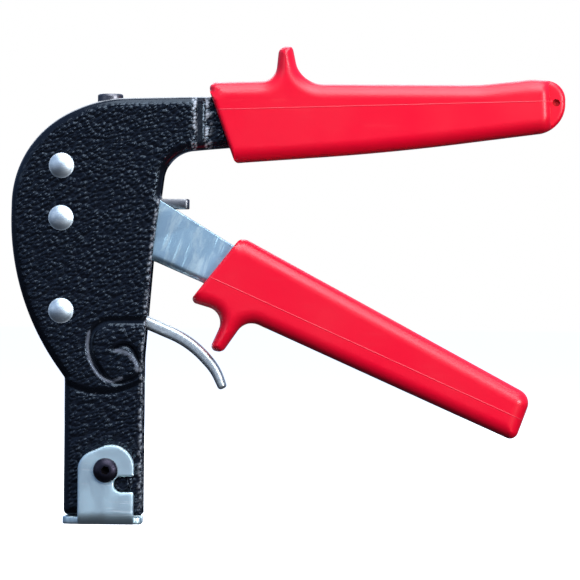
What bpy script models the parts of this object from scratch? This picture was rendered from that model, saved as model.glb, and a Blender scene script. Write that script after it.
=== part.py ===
"""Setting tool for hollow-wall anchors: a hand-squeezed rod puller.

Frame: the origin lies on the pull rod's axis at the nose plate's outer face. +Z runs up the
rod, +X points towards the handles and -Y is the front. The lengths below are millimetres, and
MM turns them into Blender's metres where a mesh is made.
"""
import math

import bmesh
import bpy
from mathutils import Vector

MM = 0.001

# Running gaps and sheet
GAP = 0.3
SHEET = 2.5
SEAM = GAP / 2

# Half thicknesses (along Y) of the pressed housing, from widest to narrowest
BODY_HALF = 11.5
NOSE_HALF = 10.3
TANG_HALF = 8.2
EDGE_ROUND = 3.5

# Pull rod and what it carries
ROD_R = 4.9
ROD_BOTTOM = 13.8
ROD_TOP = 165.5
ROD_HOLE_R = ROD_R + 0.4
PIN_R = 1.5
PIN_Z = 16.8

# Nose
PLATE_T = 3.1
FLAP_BACK = NOSE_HALF + GAP
SLOT_W = 6.6
SCREW_Z = 20.9
NOSE_BOTTOM = PLATE_T + 0.35

# Pivots: (x, z) of the three rivets
UPPER_RIVET = (-18.1, 137.6)
PIVOT_RIVET = (-18.1, 117.5)
LOWER_RIVET = (-17.8, 81.9)
RIVET_SHANK_R = 3.0
RIVET_HEAD_R = 4.9
PIVOT_BUSH_R = 5.7
RELEASE_BUSH_R = 4.2

# Hand lever: two cheeks joined by a web outside the housing
LEVER_HALF = 8.5
LEVER_SHEET = 2.5
CAM_R = 6.9
CAM_CENTRE = (-0.4, 114.1)
BAR_END_X = 140.0

# Drive plate that the cams lift
DRIVE_Z = CAM_CENTRE[1] + CAM_R + GAP
DRIVE_T = 3.9
DRIVE_HALF = 8.4
TAIL_HALF = 5.2

# Fixed guides round the rod
GUIDE_PLATE_Z = (97.0, 101.0)
TOP_GUIDE_Z = 155.5

# Grips
GRIP_HALF = 12.0
TANG_END_X = 98.0

# Outer edge of the pressed housing. A corner is (x, z, radius, share of the edge rounding).
NOSE_CORNERS = [
    (-16.3, NOSE_BOTTOM, 2.3, 1), (13.9, NOSE_BOTTOM, 1.0, 0), (13.9, 60, 0, 0), (-16.3, 60, 0, 1)]
BODY_CORNERS = [
    (-16.3, 52.0, 0, 1),
    (-1.2, 48.4, 30, 1),
    (13.9, 55.0, 0, 0),
    (13.9, 63.7, 58, 0),
    (17.1, 103.1, 77, 0),
    (22.2, 143.0, 12.3, 1),
    (35.0, 144.1, 0, 1),
    (35.0, 164.7, 0, 1),
    (-4.5, 163.4, 49, 1),
    (-36.8, 147.3, 40, 1),
    (-38.0, 86.8, 98, 1),
    (-16.3, 56.2, 1.0, 1),
]
TANG_CORNERS = [(28, 143.5, 0, 1), (TANG_END_X, 149.4, 0, 1), (TANG_END_X, 165.9, 0, 1), (28, 164.6, 0, 1)]

# Raised bead that stiffens the lower body, from the open edge round to its curled end
BEAD_PATH = [
    (15.4, 78.5, 0), (-9.5, 78.8, 10), (-7.2, 58.5, 14), (3.5, 50.5, 8), (16.5, 60, 4.5), (3.2, 68.3, 0)]
BEAD_R = 1.9
BEAD_DEPTH = 1.1

UPPER_GRIP_CORNERS = [
    (38.0, 170.0, 1.2, 0.5),
    (38.6, 166.1, 1.2, 0.3),
    (48.3, 139.3, 1.5, 0.3),
    (108.0, 143.9, 960, 1),
    (175.0, 152.9, 11.4, 0.8),
    (174.9, 171.5, 7.4, 0.8),
    (162.0, 172.2, 23, 1),
    (142.1, 169.9, 58, 1),
    (73.0, 169.7, 11.0, 0.3),
    (69.9, 184.1, 1.4, 0.3),
    (64.9, 184.1, 3.2, 0.3),
    (63.6, 170.8, 6.1, 0.3),
]
LOWER_GRIP_CORNERS = [
    (51.1, 110.8, 3.1, 0.6),
    (31.3, 85.8, 1.8, 0.3),
    (45.5, 81.6, 6.2, 0.3),
    (39.0, 67.2, 2.0, 0.3),
    (44.0, 66.5, 2.4, 0.3),
    (52.9, 79.3, 6.7, 0.3),
    (156.7, 33.2, 3.2, 0.8),
    (163.0, 50.6, 5.5, 0.8),
]

COLOURS = {
    # material: (base colour, metallic, roughness)
    "black_paint": ((0.012, 0.012, 0.014), 0.0, 0.30),
    "red_plastic": ((0.90, 0.012, 0.045), 0.0, 0.35),
    "zinc_plate": ((0.52, 0.56, 0.60), 1.0, 0.32),
    "rivet_steel": ((0.66, 0.66, 0.66), 1.0, 0.28),
    "dark_steel": ((0.10, 0.10, 0.11), 1.0, 0.40),
    "screw_steel": ((0.06, 0.045, 0.035), 1.0, 0.35),
    "spring_steel": ((0.30, 0.30, 0.31), 1.0, 0.30),
}


# ---------------------------------------------------------------- outlines

def turned_left(d):
    return Vector((-d.y, d.x))


def arc(centre, radius, start, end, sag=0.08):
    """Points on a circle from the angle start to the angle end, in degrees."""
    step = min(30.0, max(6.0, math.degrees(2 * math.acos(max(-1.0, 1 - sag / radius)))))
    count = max(1, math.ceil(abs(end - start) / step))
    angles = [math.radians(start + (end - start) * i / count) for i in range(count + 1)]
    return [Vector((centre[0] + radius * math.cos(a), centre[1] + radius * math.sin(a))) for a in angles]


def outline(corners, inset=0.0):
    """Anticlockwise outline with rounded corners, drawn in by inset times each corner's share.

    The number of points depends on the corners only, so that outlines with different insets
    can be joined point to point.
    """
    points = []
    spots = [Vector(c[:2]) for c in corners]
    for i, corner in enumerate(corners):
        here = spots[i]
        into = (here - spots[i - 1]).normalized()
        out = (spots[(i + 1) % len(spots)] - here).normalized()
        turn = math.atan2(into.x * out.y - into.y * out.x, into.dot(out))
        draw = inset * (corner[3] if len(corner) > 3 else 1.0)
        n1, n2 = turned_left(into), turned_left(out)
        here = here + (n1 + n2) / (1 + n1.dot(n2)) * draw
        if corner[2] == 0:
            points.append(here)
            continue
        side = 1 if turn > 0 else -1
        radius = max(0.05, corner[2] - side * draw)
        centre = here + (side * n1 - into * math.tan(abs(turn) / 2)) * radius
        count = len(arc((0, 0), corner[2], 0, math.degrees(abs(turn))))
        for k in range(count):
            angle = turn * k / (count - 1)
            spoke = -side * n1 * radius
            points.append(centre + Vector((
                spoke.x * math.cos(angle) - spoke.y * math.sin(angle),
                spoke.x * math.sin(angle) + spoke.y * math.cos(angle))))
    return points


def ribbon(path, widths):
    """Corners of a bent strip round a centre path of (x, z, bend radius), with its half widths."""
    spots = [Vector(p[:2]) for p in path]
    left, right = [], []
    for i, (here, half) in enumerate(zip(spots, widths)):
        into = (here - spots[i - 1]).normalized() if i else (spots[1] - here).normalized()
        out = (spots[i + 1] - here).normalized() if i + 1 < len(spots) else into
        n1, n2 = turned_left(into), turned_left(out)
        side = (n1 + n2) / (1 + n1.dot(n2)) * half
        bends_left = into.x * out.y - into.y * out.x > 0
        radius = path[i][2]
        tight, wide = max(0.0, radius - half), radius + half * (radius > 0)
        left.append((*(here + side), tight if bends_left else wide))
        right.append((*(here - side), wide if bends_left else tight))
    return right + left[::-1]


# ---------------------------------------------------------------- solids

def solid(name, bm, material=None):
    """A closed mesh object, its faces turned outwards, from a bmesh in millimetres."""
    bmesh.ops.recalc_face_normals(bm, faces=bm.faces)
    if bm.calc_volume(signed=True) < 0:
        bmesh.ops.reverse_faces(bm, faces=bm.faces)
    bmesh.ops.scale(bm, vec=(MM, MM, MM), verts=bm.verts)
    mesh = bpy.data.meshes.new(name)
    bm.to_mesh(mesh)
    bm.free()
    mesh.shade_smooth()
    mesh.set_sharp_from_angle(angle=math.radians(35))
    obj = bpy.data.objects.new(name, mesh)
    bpy.context.scene.collection.objects.link(obj)
    if material:
        mesh.materials.append(material_named(material))
    return obj


def material_named(name):
    """The material of one of COLOURS, made the first time it is asked for."""
    if name in bpy.data.materials:
        return bpy.data.materials[name]
    colour, metallic, roughness = COLOURS[name]
    material = bpy.data.materials.new(name)
    material.use_nodes = True
    shader = material.node_tree.nodes["Principled BSDF"]
    shader.inputs["Base Color"].default_value = (*colour, 1)
    shader.inputs["Metallic"].default_value = metallic
    shader.inputs["Roughness"].default_value = roughness
    return material


PLANES = {
    # plane: place of (u, v, level)
    "XZ": lambda u, v, w: (u, w, v),
    "XY": lambda u, v, w: (u, v, w),
    "YZ": lambda u, v, w: (w, u, v),
}


def layered(name, loops, material=None, plane="XZ"):
    """A solid through loops of (level, points), all with the same number of points."""
    bm = bmesh.new()
    place = PLANES[plane]
    rings = [[bm.verts.new(place(p[0], p[1], level)) for p in points] for level, points in loops]
    for low, high in zip(rings, rings[1:]):
        for i in range(len(low)):
            j = (i + 1) % len(low)
            bm.faces.new((low[i], high[i], high[j], low[j]))
    bm.faces.new(rings[0])
    bm.faces.new(rings[-1][::-1])
    return solid(name, bm, material)


def prism(name, corners, low, high, material=None, plane="XZ"):
    """A straight prism between two levels."""
    points = outline(corners)
    return layered(name, [(low, points), (high, points)], material, plane)


def rounded(name, corners, front, back, depth, inset, material=None, rings=3, both=True):
    """A prism whose front edge, and back edge if both is set, is rounded to a quarter ellipse."""
    angles = [math.pi / 2 * i / rings for i in range(rings + 1)]
    quarter = [(depth * (1 - math.sin(a)), inset * (1 - math.cos(a))) for a in reversed(angles)]
    loops = [(front + d, outline(corners, s)) for d, s in quarter]
    if both:
        loops += [(back - d, outline(corners, s)) for d, s in reversed(quarter)]
    else:
        loops.append((back, outline(corners)))
    return layered(name, loops, material)


def box(name, low, high, material=None):
    corners = [(low[0], low[2]), (high[0], low[2]), (high[0], high[2]), (low[0], high[2])]
    return layered(name, [(low[1], corners), (high[1], corners)], material)


def turned(name, profile, spot, axis, material=None, sides=32, ring=False):
    """A turned solid: profile holds (radius, distance along axis) from spot, and a ring is hollow."""
    bm = bmesh.new()
    axis = Vector(axis)
    across = axis.orthogonal().normalized()
    other = axis.cross(across)
    circles = []
    for radius, along in profile:
        middle = Vector(spot) + axis * along
        if radius == 0:
            circles.append([bm.verts.new(middle)] * sides)
            continue
        angles = [2 * math.pi * i / sides for i in range(sides)]
        circles.append([
            bm.verts.new(middle + (across * math.cos(a) + other * math.sin(a)) * radius) for a in angles])
    pairs = list(zip(circles, circles[1:]))
    if ring:
        pairs.append((circles[-1], circles[0]))
    for first, second in pairs:
        for i in range(sides):
            j = (i + 1) % sides
            corners = dict.fromkeys((first[i], second[i], second[j], first[j]))
            bm.faces.new(list(corners))
    return solid(name, bm, material)


def cylinder(name, spot, axis, radius, low, high, sides=32):
    return turned(name, [(0, low), (radius, low), (radius, high), (0, high)], spot, axis, sides=sides)


def coil(name, radius, wire, low, high, turns, material, sides=6, steps=16):
    """A compression spring round the rod's axis."""
    bm = bmesh.new()
    count = int(turns * steps)
    travel = high - low - 2 * wire
    rings = []
    for i in range(count + 1):
        angle = 2 * math.pi * i / steps
        outward = Vector((math.cos(angle), math.sin(angle), 0))
        middle = outward * radius + Vector((0, 0, low + wire + travel * i / count))
        around = [2 * math.pi * k / sides for k in range(sides)]
        rings.append([
            bm.verts.new(middle + (outward * math.cos(a) + Vector((0, 0, 1)) * math.sin(a)) * wire)
            for a in around])
    for first, second in zip(rings, rings[1:]):
        for k in range(sides):
            j = (k + 1) % sides
            bm.faces.new((first[k], second[k], second[j], first[j]))
    bm.faces.new(rings[0])
    bm.faces.new(rings[-1][::-1])
    return solid(name, bm, material)


def combine(obj, tool, operation):
    """Cut tool from obj, or join or intersect them, with a Boolean that stays live.

    The shells have many walls in one plane, where EXACT leaves slivers and MANIFOLD doesn't.
    """
    modifier = obj.modifiers.new(tool.name, "BOOLEAN")
    modifier.operation = operation
    modifier.solver = "MANIFOLD" if obj.name.endswith("_shell") else "EXACT"
    modifier.object = tool
    tool.hide_render = True
    tool.display_type = "WIRE"
    return obj


def cut(obj, *tools):
    for tool in tools:
        combine(obj, tool, "DIFFERENCE")
    return obj


def join(obj, *tools):
    for tool in tools:
        combine(obj, tool, "UNION")
    return obj


def span(low, high, side):
    """Levels are given for the front (-Y) half: side 1 keeps them, and -1 mirrors them."""
    return (low, high) if side > 0 else (-high, -low)


# ---------------------------------------------------------------- housing

def half_shell(name, side):
    """One pressed half: wide body, thinner nose and thinner tang, open towards the lever."""
    shell = rounded_half(name, BODY_CORNERS, BODY_HALF, side, "black_paint")
    join(
        shell,
        rounded_half(name + "_nose", NOSE_CORNERS, NOSE_HALF, side),
        rounded_half(name + "_tang", TANG_CORNERS, TANG_HALF, side),
    )
    body_in = span(SHEET - BODY_HALF, 2, side)
    nose_in = span(SHEET - NOSE_HALF, 2, side)
    tang_in = span(SHEET - TANG_HALF, 2, side)
    inner_body = outline([(x, z, r, 1) for x, z, r, _ in BODY_CORNERS], SHEET)
    wall, ledge = NOSE_CORNERS[0][0] + SHEET, NOSE_BOTTOM + SHEET
    inner_nose = [(wall, ledge), (-9.5, ledge), (-9.5, -2), (30, -2), (30, 57.5), (wall, 57.5)]
    throat_top = 139.0
    cut(
        shell,
        layered(name + "_body_hollow", [(body_in[0], inner_body), (body_in[1], inner_body)]),
        layered(name + "_nose_hollow", [(nose_in[0], inner_nose), (nose_in[1], inner_nose)]),
        box(name + "_tang_hollow", (30, tang_in[0], 148.2), (TANG_END_X + 5, tang_in[1], 162.0)),
        box(name + "_body_open", (8, body_in[0], 50), (40, body_in[1], throat_top)),
        cylinder(name + "_rod_hole", (0, 0, 0), (0, 0, 1), ROD_HOLE_R, 150, 180),
    )
    for label, (x, z) in (("upper", UPPER_RIVET), ("pivot", PIVOT_RIVET), ("lower", LOWER_RIVET)):
        cut(shell, cylinder(f"{name}_{label}_hole", (x, 0, z), (0, 1, 0), RIVET_SHANK_R + GAP, -20, 20, 24))
    cut(shell, bead_groove(name + "_bead", side))
    return shell


def rounded_half(name, corners, half, side, material=None):
    """A half prism from the seam out to half, rounded along its outer edge."""
    angles = [math.pi / 2 * i / 3 for i in range(4)]
    loops = [
        (-side * (half - EDGE_ROUND * (1 - math.sin(a))), outline(corners, EDGE_ROUND * (1 - math.cos(a))))
        for a in reversed(angles)]
    loops.append((-side * SEAM, outline(corners)))
    return layered(name, loops, material)


def bead_groove(name, side):
    """A shallow valley pressed into the shell's face along BEAD_PATH."""
    widths = [BEAD_R * 1.2] + [BEAD_R] * (len(BEAD_PATH) - 2) + [BEAD_R * 0.5]
    points = outline(ribbon(BEAD_PATH, widths))
    return layered(name, [(-side * (BODY_HALF - BEAD_DEPTH), points), (-side * (BODY_HALF + 2), points)])


def housing_shells():
    front = half_shell("front_shell", 1)
    # Round boss that keys the nose plate, and the hole for its screw
    boss = [(3.5, 12.9, 2.6), (9.5, 12.9, 2.6), (9.5, 18.2, 2.6), (3.5, 18.2, 2.6)]
    join(front, prism("front_shell_boss", boss, -NOSE_HALF - 1.5, -NOSE_HALF + 0.5))
    cut(front, cylinder("front_shell_screw_hole", (0, 0, SCREW_Z), (0, 1, 0), 2.8, -15, -5, 24))
    half_shell("rear_shell", -1)


def rivet(name, spot):
    """A solid rivet with a low domed head on each side."""
    under = BODY_HALF + GAP
    head = [(0, under + 1.5), (2.6, under + 1.3), (4.2, under + 0.75), (RIVET_HEAD_R, under)]
    shank = [(RIVET_SHANK_R, under)]
    profile = head + shank + [(r, -y) for r, y in reversed(head + shank)]
    return turned(name, profile, (spot[0], 0, spot[1]), (0, 1, 0), "rivet_steel", sides=24)


def sleeve(name, spot, outer, material):
    """A bush round a rivet, between the two shells."""
    reach = BODY_HALF - SHEET - GAP
    inner = RIVET_SHANK_R + GAP
    profile = [(inner, -reach), (outer, -reach), (outer, reach), (inner, reach)]
    return turned(name, profile, (spot[0], 0, spot[1]), (0, 1, 0), material, sides=24, ring=True)


def fastenings():
    rivet("upper_rivet", UPPER_RIVET)
    rivet("pivot_rivet", PIVOT_RIVET)
    rivet("lower_rivet", LOWER_RIVET)
    sleeve("upper_spacer", UPPER_RIVET, 4.5, "dark_steel")
    sleeve("pivot_bush", PIVOT_RIVET, PIVOT_BUSH_R, "dark_steel")
    sleeve("release_bush", LOWER_RIVET, RELEASE_BUSH_R, "dark_steel")


# ---------------------------------------------------------------- nose

def nose_plate():
    """A bent plate: a slotted foot under the nose and a flap screwed to its front."""
    front = -(FLAP_BACK + PLATE_T)
    bend = 4.5
    section = [
        (front, 0, bend), (NOSE_HALF, 0, 0.5), (NOSE_HALF, PLATE_T, 0.5),
        (-FLAP_BACK, PLATE_T, bend - PLATE_T), (-FLAP_BACK, 40, 0), (front, 40, 0)]
    flap = [(-10.7, -1, 0), (10.75, -1, 0), (10.8, 25.1, 10.8), (2.9, 31.5, 7.3), (-10.7, 25.9, 9.5)]
    foot = [(-16.75, -8.5, 4), (13.7, -8.5, 4), (13.7, NOSE_HALF, 4), (-16.75, NOSE_HALF, 4)]
    plate = prism("nose_plate", section, -10.7, 10.8, "zinc_plate", "YZ")
    combine(plate, prism("nose_plate_outline", flap, -30, 30), "INTERSECT")
    join(plate, prism("nose_plate_foot", foot, 0, PLATE_T, plane="XY"))
    half = SLOT_W / 2
    slot = [(-half, -half, half), (20, -half, 0), (20, half, 0), (-half, half, half)]
    notch = [(3.15, 12.55, 2.95), (20, 12.55, 0), (20, 18.5, 0), (3.15, 18.5, 2.95)]
    cut(
        plate,
        prism("nose_plate_slot", slot, -5, 6, plane="XY"),
        prism("nose_plate_notch", notch, -20, -9),
        cylinder("nose_plate_screw_hole", (0, 0, SCREW_Z), (0, 1, 0), 2.8, -20, -5, 24),
    )
    return plate


def nose_screw():
    """A button-head socket screw through the flap into the front shell."""
    seat = -(FLAP_BACK + PLATE_T + GAP)
    tip = -(NOSE_HALF - SHEET)
    socket_r = 1.75
    profile = [
        (0, seat - 1.2), (socket_r, seat - 1.2), (socket_r, seat - 2.75), (2.4, seat - 2.75),
        (3.8, seat - 2.1), (4.6, seat - 1.0), (4.75, seat), (2.5, seat), (2.5, tip), (0, tip)]
    return turned("nose_screw", profile, (0, 0, SCREW_Z), (0, 1, 0), "screw_steel", sides=24)


# ---------------------------------------------------------------- rod train

def pull_rod():
    chamfer = 0.9
    profile = [
        (0, ROD_BOTTOM), (ROD_R, ROD_BOTTOM), (ROD_R, ROD_TOP - chamfer), (ROD_R - chamfer, ROD_TOP),
        (0, ROD_TOP)]
    rod = turned("pull_rod", profile, (0, 0, 0), (0, 0, 1), "dark_steel")
    return cut(rod, cylinder("pull_rod_pin_hole", (0, 0, PIN_Z), (0, 1, 0), PIN_R + GAP, -20, 20, 16))


def head_holder():
    """A block with a T-slot, open to the side, that takes the anchor screw's head."""
    holder = prism(
        "head_holder", [(-8, -7.3, 1.5), (8, -7.3, 1), (8, 7.3, 1), (-8, 7.3, 1.5)], 3.6, 20.4,
        "dark_steel", "XY")
    half = SLOT_W / 2
    neck = [(-half, -half, half), (12, -half, 0), (12, half, 0), (-half, half, half)]
    head = [(-6, -6, 6), (12, -6, 0), (12, 6, 0), (-6, 6, 6)]
    cut(
        holder,
        prism("head_holder_neck", neck, 0, 8, plane="XY"),
        prism("head_holder_head", head, 7.1, 12.3, plane="XY"),
        cylinder("head_holder_rod_hole", (0, 0, 0), (0, 0, 1), ROD_R + GAP, ROD_BOTTOM - GAP, 30),
        cylinder("head_holder_pin_hole", (0, 0, PIN_Z), (0, 1, 0), PIN_R + GAP, -20, 20, 16),
    )
    turned(
        "holder_pin", [(0, -7.1), (PIN_R, -7.1), (PIN_R, 7.1), (0, 7.1)], (0, 0, PIN_Z), (0, 1, 0),
        "rivet_steel", sides=16)
    return holder


def drive_plate():
    """The jam plate: wide shoulders over the cams and a tail that shows above the lever."""
    shoulders = [(-9.5, -DRIVE_HALF, 2), (9.2, -DRIVE_HALF, 2), (9.2, DRIVE_HALF, 2), (-9.5, DRIVE_HALF, 2)]
    tail = [(0, -TAIL_HALF, 0), (30.7, -TAIL_HALF, 1.5), (30.7, TAIL_HALF, 1.5), (0, TAIL_HALF, 0)]
    plate = prism("drive_plate", shoulders, DRIVE_Z, DRIVE_Z + DRIVE_T, "dark_steel", "XY")
    join(plate, prism("drive_plate_tail", tail, DRIVE_Z, DRIVE_Z + DRIVE_T, plane="XY"))
    return cut(plate, cylinder("drive_plate_hole", (0, 0, 0), (0, 0, 1), ROD_HOLE_R, 110, 135))


def rod_guides():
    """The lower guide plate and the top guide, both held between the shells."""
    reach = BODY_HALF - SHEET - GAP
    low, high = GUIDE_PLATE_Z
    lower = prism(
        "guide_plate", [(-10, -reach, 1), (12, -reach, 1), (12, reach, 1), (-10, reach, 1)], low, high,
        "dark_steel", "XY")
    cut(lower, cylinder("guide_plate_hole", (0, 0, 0), (0, 0, 1), ROD_HOLE_R, 90, 110))
    block = [(-8, TOP_GUIDE_Z, 0), (8, TOP_GUIDE_Z, 0), (8, 160.6, 0), (-8, 158.0, 0)]
    upper = prism("top_guide", block, -reach, reach, "dark_steel")
    spigot = cylinder("top_guide_spigot", (0, 0, 0), (0, 0, 1), 6.0, TOP_GUIDE_Z - 6, TOP_GUIDE_Z + 1, 24)
    join(upper, spigot)
    cut(upper, cylinder("top_guide_hole", (0, 0, 0), (0, 0, 1), ROD_HOLE_R, 140, 170))


def springs():
    top = DRIVE_Z + DRIVE_T + GAP
    coil("return_spring", 7.2, 0.9, top, TOP_GUIDE_Z - GAP, 6.5, "spring_steel")
    coil("release_spring", 6.6, 0.6, 83.7, GUIDE_PLATE_Z[0] - GAP, 4.5, "spring_steel")


# ---------------------------------------------------------------- levers

def lever():
    """Squeezed lever: a fork of two cams in the housing and a channel that carries the grip."""
    pivot, cam = PIVOT_RIVET, CAM_CENTRE
    boss_r = 9.0
    bar_bottom = [(17.3, 101.3), (37.0, 92.8), (BAR_END_X, 45.3)]
    bar_top = [(BAR_END_X, 57.1), (48.3, 107.2), (13.5, 128.5), (13.3, 115.6)]
    side = (
        [(*p, 0, 0) for p in arc(pivot, boss_r, 10, 258)]
        + [(x, z, 0, 1) for x, z in bar_bottom]
        + [(x, z, 0, 0) for x, z in bar_top]
        + [(*p, 0, 0) for p in arc(cam, CAM_R, 66, 140)])
    bend = 2.4
    body = rounded("lever", side, -LEVER_HALF, LEVER_HALF, bend, bend, "zinc_plate", rings=3)
    rise = LEVER_SHEET / math.cos(math.radians(24))
    fork_end = 14.0
    web_start = bar_bottom[0][1] + (17.3 - fork_end) * 0.43 + rise
    channel = [(-40, 80), (fork_end, 80), (fork_end, web_start)]
    channel += [(x, z + rise) for x, z in bar_bottom[1:]]
    channel += [(BAR_END_X + 10, bar_bottom[-1][1] + rise - 4.6), (BAR_END_X + 10, 150), (-40, 150)]
    inner = LEVER_HALF - LEVER_SHEET
    cut(
        body,
        layered("lever_channel", [(-inner, channel), (inner, channel)]),
        cylinder("lever_pivot_hole", (pivot[0], 0, pivot[1]), (0, 1, 0), PIVOT_BUSH_R + 0.2, -20, 20, 24),
    )
    return place_origin(body, pivot)


def release_lever():
    """Trigger that clamps the rod against running back, and frees it when pulled up."""
    pivot = LOWER_RIVET
    path = [(pivot[0], pivot[1], 0), (13.5, 78.1, 12), (32.0, 70.3, 38), (41.4, 59.7, 22), (44.4, 52.4, 0)]
    strip = ribbon(path, [2.4, 2.4, 2.35, 2.0, 1.6])
    body = prism("release_lever", strip, -8.0, 8.0, "zinc_plate")
    eye = RELEASE_BUSH_R + 0.3 + 2.4
    join(body, cylinder("release_lever_eye", (pivot[0], 0, pivot[1]), (0, 1, 0), eye, -8.0, 8.0, 24))
    cut(
        body,
        cylinder(
            "release_lever_pivot_hole", (pivot[0], 0, pivot[1]), (0, 1, 0), RELEASE_BUSH_R + 0.3, -20, 20, 24),
        cylinder("release_lever_rod_hole", (0, 0, 0), (0, 0, 1), 5.9, 70, 90),
        box("release_lever_front_side", (11.5, -15, 40), (60, -6, 90)),
        box("release_lever_rear_side", (11.5, 6, 40), (60, 15, 90)),
    )
    return place_origin(body, pivot)


def place_origin(obj, spot):
    """Move an object's origin to a pivot at (x, z) while its mesh stays where it is."""
    origin = Vector((spot[0], 0, spot[1])) * MM
    for vertex in obj.data.vertices:
        vertex.co -= origin
    obj.location = origin
    return obj


# ---------------------------------------------------------------- grips

def upper_grip():
    grip = rounded("upper_grip", UPPER_GRIP_CORNERS, -GRIP_HALF, GRIP_HALF, 5.5, 4.6, "red_plastic")
    reach = TANG_HALF + GAP
    low, high = TANG_CORNERS[0][1] - GAP, TANG_CORNERS[3][1] + GAP
    end_low, end_high = TANG_CORNERS[1][1] - GAP, TANG_CORNERS[2][1] + GAP
    pocket = [(25, low), (TANG_END_X + GAP, end_low), (TANG_END_X + GAP, end_high), (25, high)]
    lug_half = 5.6
    lug = [(168.1, 180), (170.3, 140), (190, 140), (190, 180)]
    web_half = 3.8
    return cut(
        grip,
        layered("upper_grip_pocket", [(-reach, pocket), (reach, pocket)]),
        layered("upper_grip_front_step", [(-20, lug), (-lug_half, lug)]),
        layered("upper_grip_rear_step", [(lug_half, lug), (20, lug)]),
        cylinder("upper_grip_front_eye", (171.4, 0, 163.4), (0, 1, 0), 1.45, -20, -web_half, 16),
        cylinder("upper_grip_rear_eye", (171.4, 0, 163.4), (0, 1, 0), 1.45, web_half, 20, 16),
    )


def lower_grip():
    grip = rounded("lower_grip", LOWER_GRIP_CORNERS, -GRIP_HALF, GRIP_HALF, 5.5, 4.6, "red_plastic")
    reach = LEVER_HALF + GAP
    clear = 0.4
    pocket = [
        (17.3, 101.3 - clear), (37.0, 92.8 - clear), (BAR_END_X + GAP, 45.3 - clear),
        (BAR_END_X + GAP, 57.1 + clear), (48.3, 107.2 + clear), (17.3, 126.2 + clear)]
    return cut(grip, layered("lower_grip_pocket", [(-reach, pocket), (reach, pocket)]))


def main():
    for obj in list(bpy.data.objects):
        bpy.data.objects.remove(obj, do_unlink=True)
    housing_shells()
    fastenings()
    nose_plate()
    nose_screw()
    pull_rod()
    head_holder()
    drive_plate()
    rod_guides()
    springs()
    lever()
    release_lever()
    upper_grip()
    lower_grip()


main()
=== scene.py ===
# Looks of the hollow-wall anchor setting tool: fine shells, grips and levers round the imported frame.
# Shapes are drawn in millimetres in the x-z plane (x to the handles, z up the rod) and given depth along y.
import math

import bmesh
import bpy
import numpy as np
from mathutils import Matrix, Vector
from mathutils.geometry import delaunay_2d_cdt


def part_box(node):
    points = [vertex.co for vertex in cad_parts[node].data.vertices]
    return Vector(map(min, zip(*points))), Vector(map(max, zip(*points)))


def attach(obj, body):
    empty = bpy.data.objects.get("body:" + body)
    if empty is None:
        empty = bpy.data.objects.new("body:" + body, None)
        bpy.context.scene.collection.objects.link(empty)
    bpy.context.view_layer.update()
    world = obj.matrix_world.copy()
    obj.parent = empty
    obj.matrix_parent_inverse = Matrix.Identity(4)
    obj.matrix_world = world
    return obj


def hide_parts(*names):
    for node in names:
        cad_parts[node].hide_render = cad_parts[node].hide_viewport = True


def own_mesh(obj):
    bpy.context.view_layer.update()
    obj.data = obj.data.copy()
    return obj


mm = 0.001
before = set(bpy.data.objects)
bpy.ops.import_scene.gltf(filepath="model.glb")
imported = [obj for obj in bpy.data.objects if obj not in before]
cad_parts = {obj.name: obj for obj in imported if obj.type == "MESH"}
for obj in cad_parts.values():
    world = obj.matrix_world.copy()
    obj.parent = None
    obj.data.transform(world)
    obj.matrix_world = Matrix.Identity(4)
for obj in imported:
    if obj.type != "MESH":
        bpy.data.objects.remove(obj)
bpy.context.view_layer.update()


def nodeMiddle(node):  # middle of a CAD node's box, in millimetres
    low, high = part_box(node)
    return [(low[i] + high[i]) / 2 / mm for i in range(3)]


def nodeSpan(node, axis):  # lowest and highest place of a CAD node along an axis, in millimetres
    low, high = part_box(node)
    return low[axis] / mm, high[axis] / mm


# Drawing: rounded outlines, distances and filled plates

def unit(v):
    return v / np.linalg.norm(v)


def leftOf(v):
    return np.array([-v[1], v[0]])


def crossing(a, b):  # above 0 where b turns left from a
    return a[0] * b[1] - a[1] * b[0]


def miter(into, out):  # how far a corner moves when its two edges move one unit to the left
    n1, n2 = leftOf(into), leftOf(out)
    return (n1 + n2) / (1 + n1 @ n2)


def roundedLoop(corners, spacing=0.8):  # corners are (x, z, radius), anticlockwise; the points are evenly filled
    spots = [np.array(c[:2], float) for c in corners]
    loop = []
    for i, corner in enumerate(corners):
        here, before, after = spots[i], spots[i - 1], spots[(i + 1) % len(spots)]
        into, out = unit(here - before), unit(after - here)
        turn = math.atan2(crossing(into, out), into @ out)
        radius = corner[2]
        if radius == 0 or abs(turn) < 1e-4:
            loop.append(here)
            continue
        reach = radius * math.tan(abs(turn) / 2)
        side = 1 if turn > 0 else -1
        start = here - into * reach
        centre = start + side * radius * leftOf(into)
        spoke = start - centre
        steps = max(3, math.ceil(abs(turn) / math.radians(9)), math.ceil(abs(turn) * radius / spacing))
        for k in range(steps + 1):
            angle = turn * k / steps
            loop.append(centre + spoke * math.cos(angle) + leftOf(spoke) * math.sin(angle))
    return fillSpacing(np.array(loop), spacing)


def fillSpacing(loop, spacing, closed=True):  # the same line with points at most about spacing apart
    points = []
    count = len(loop) if closed else len(loop) - 1
    for i in range(count):
        a, b = loop[i], loop[(i + 1) % len(loop)]
        length = np.linalg.norm(b - a)
        if length < 1e-4:
            continue
        steps = max(1, round(length / spacing))
        points += [a + (b - a) * k / steps for k in range(steps)]
    if not closed:
        points.append(loop[-1])
    return np.array(points)


def offsetFrom(points, a, b):  # each point's offset from its nearest place on the straight from a to b
    along = b - a
    t = np.clip((points - a) @ along / max(along @ along, 1e-12), 0, 1)
    return points - a - t[:, None] * along


def runDistance(points, run):  # shortest distance from each point to a set of (start, end) pairs
    best = np.full(len(points), 1e9)
    for a, b in run:
        best = np.minimum(best, np.hypot(*offsetFrom(points, a, b).T))
    return best


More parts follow.
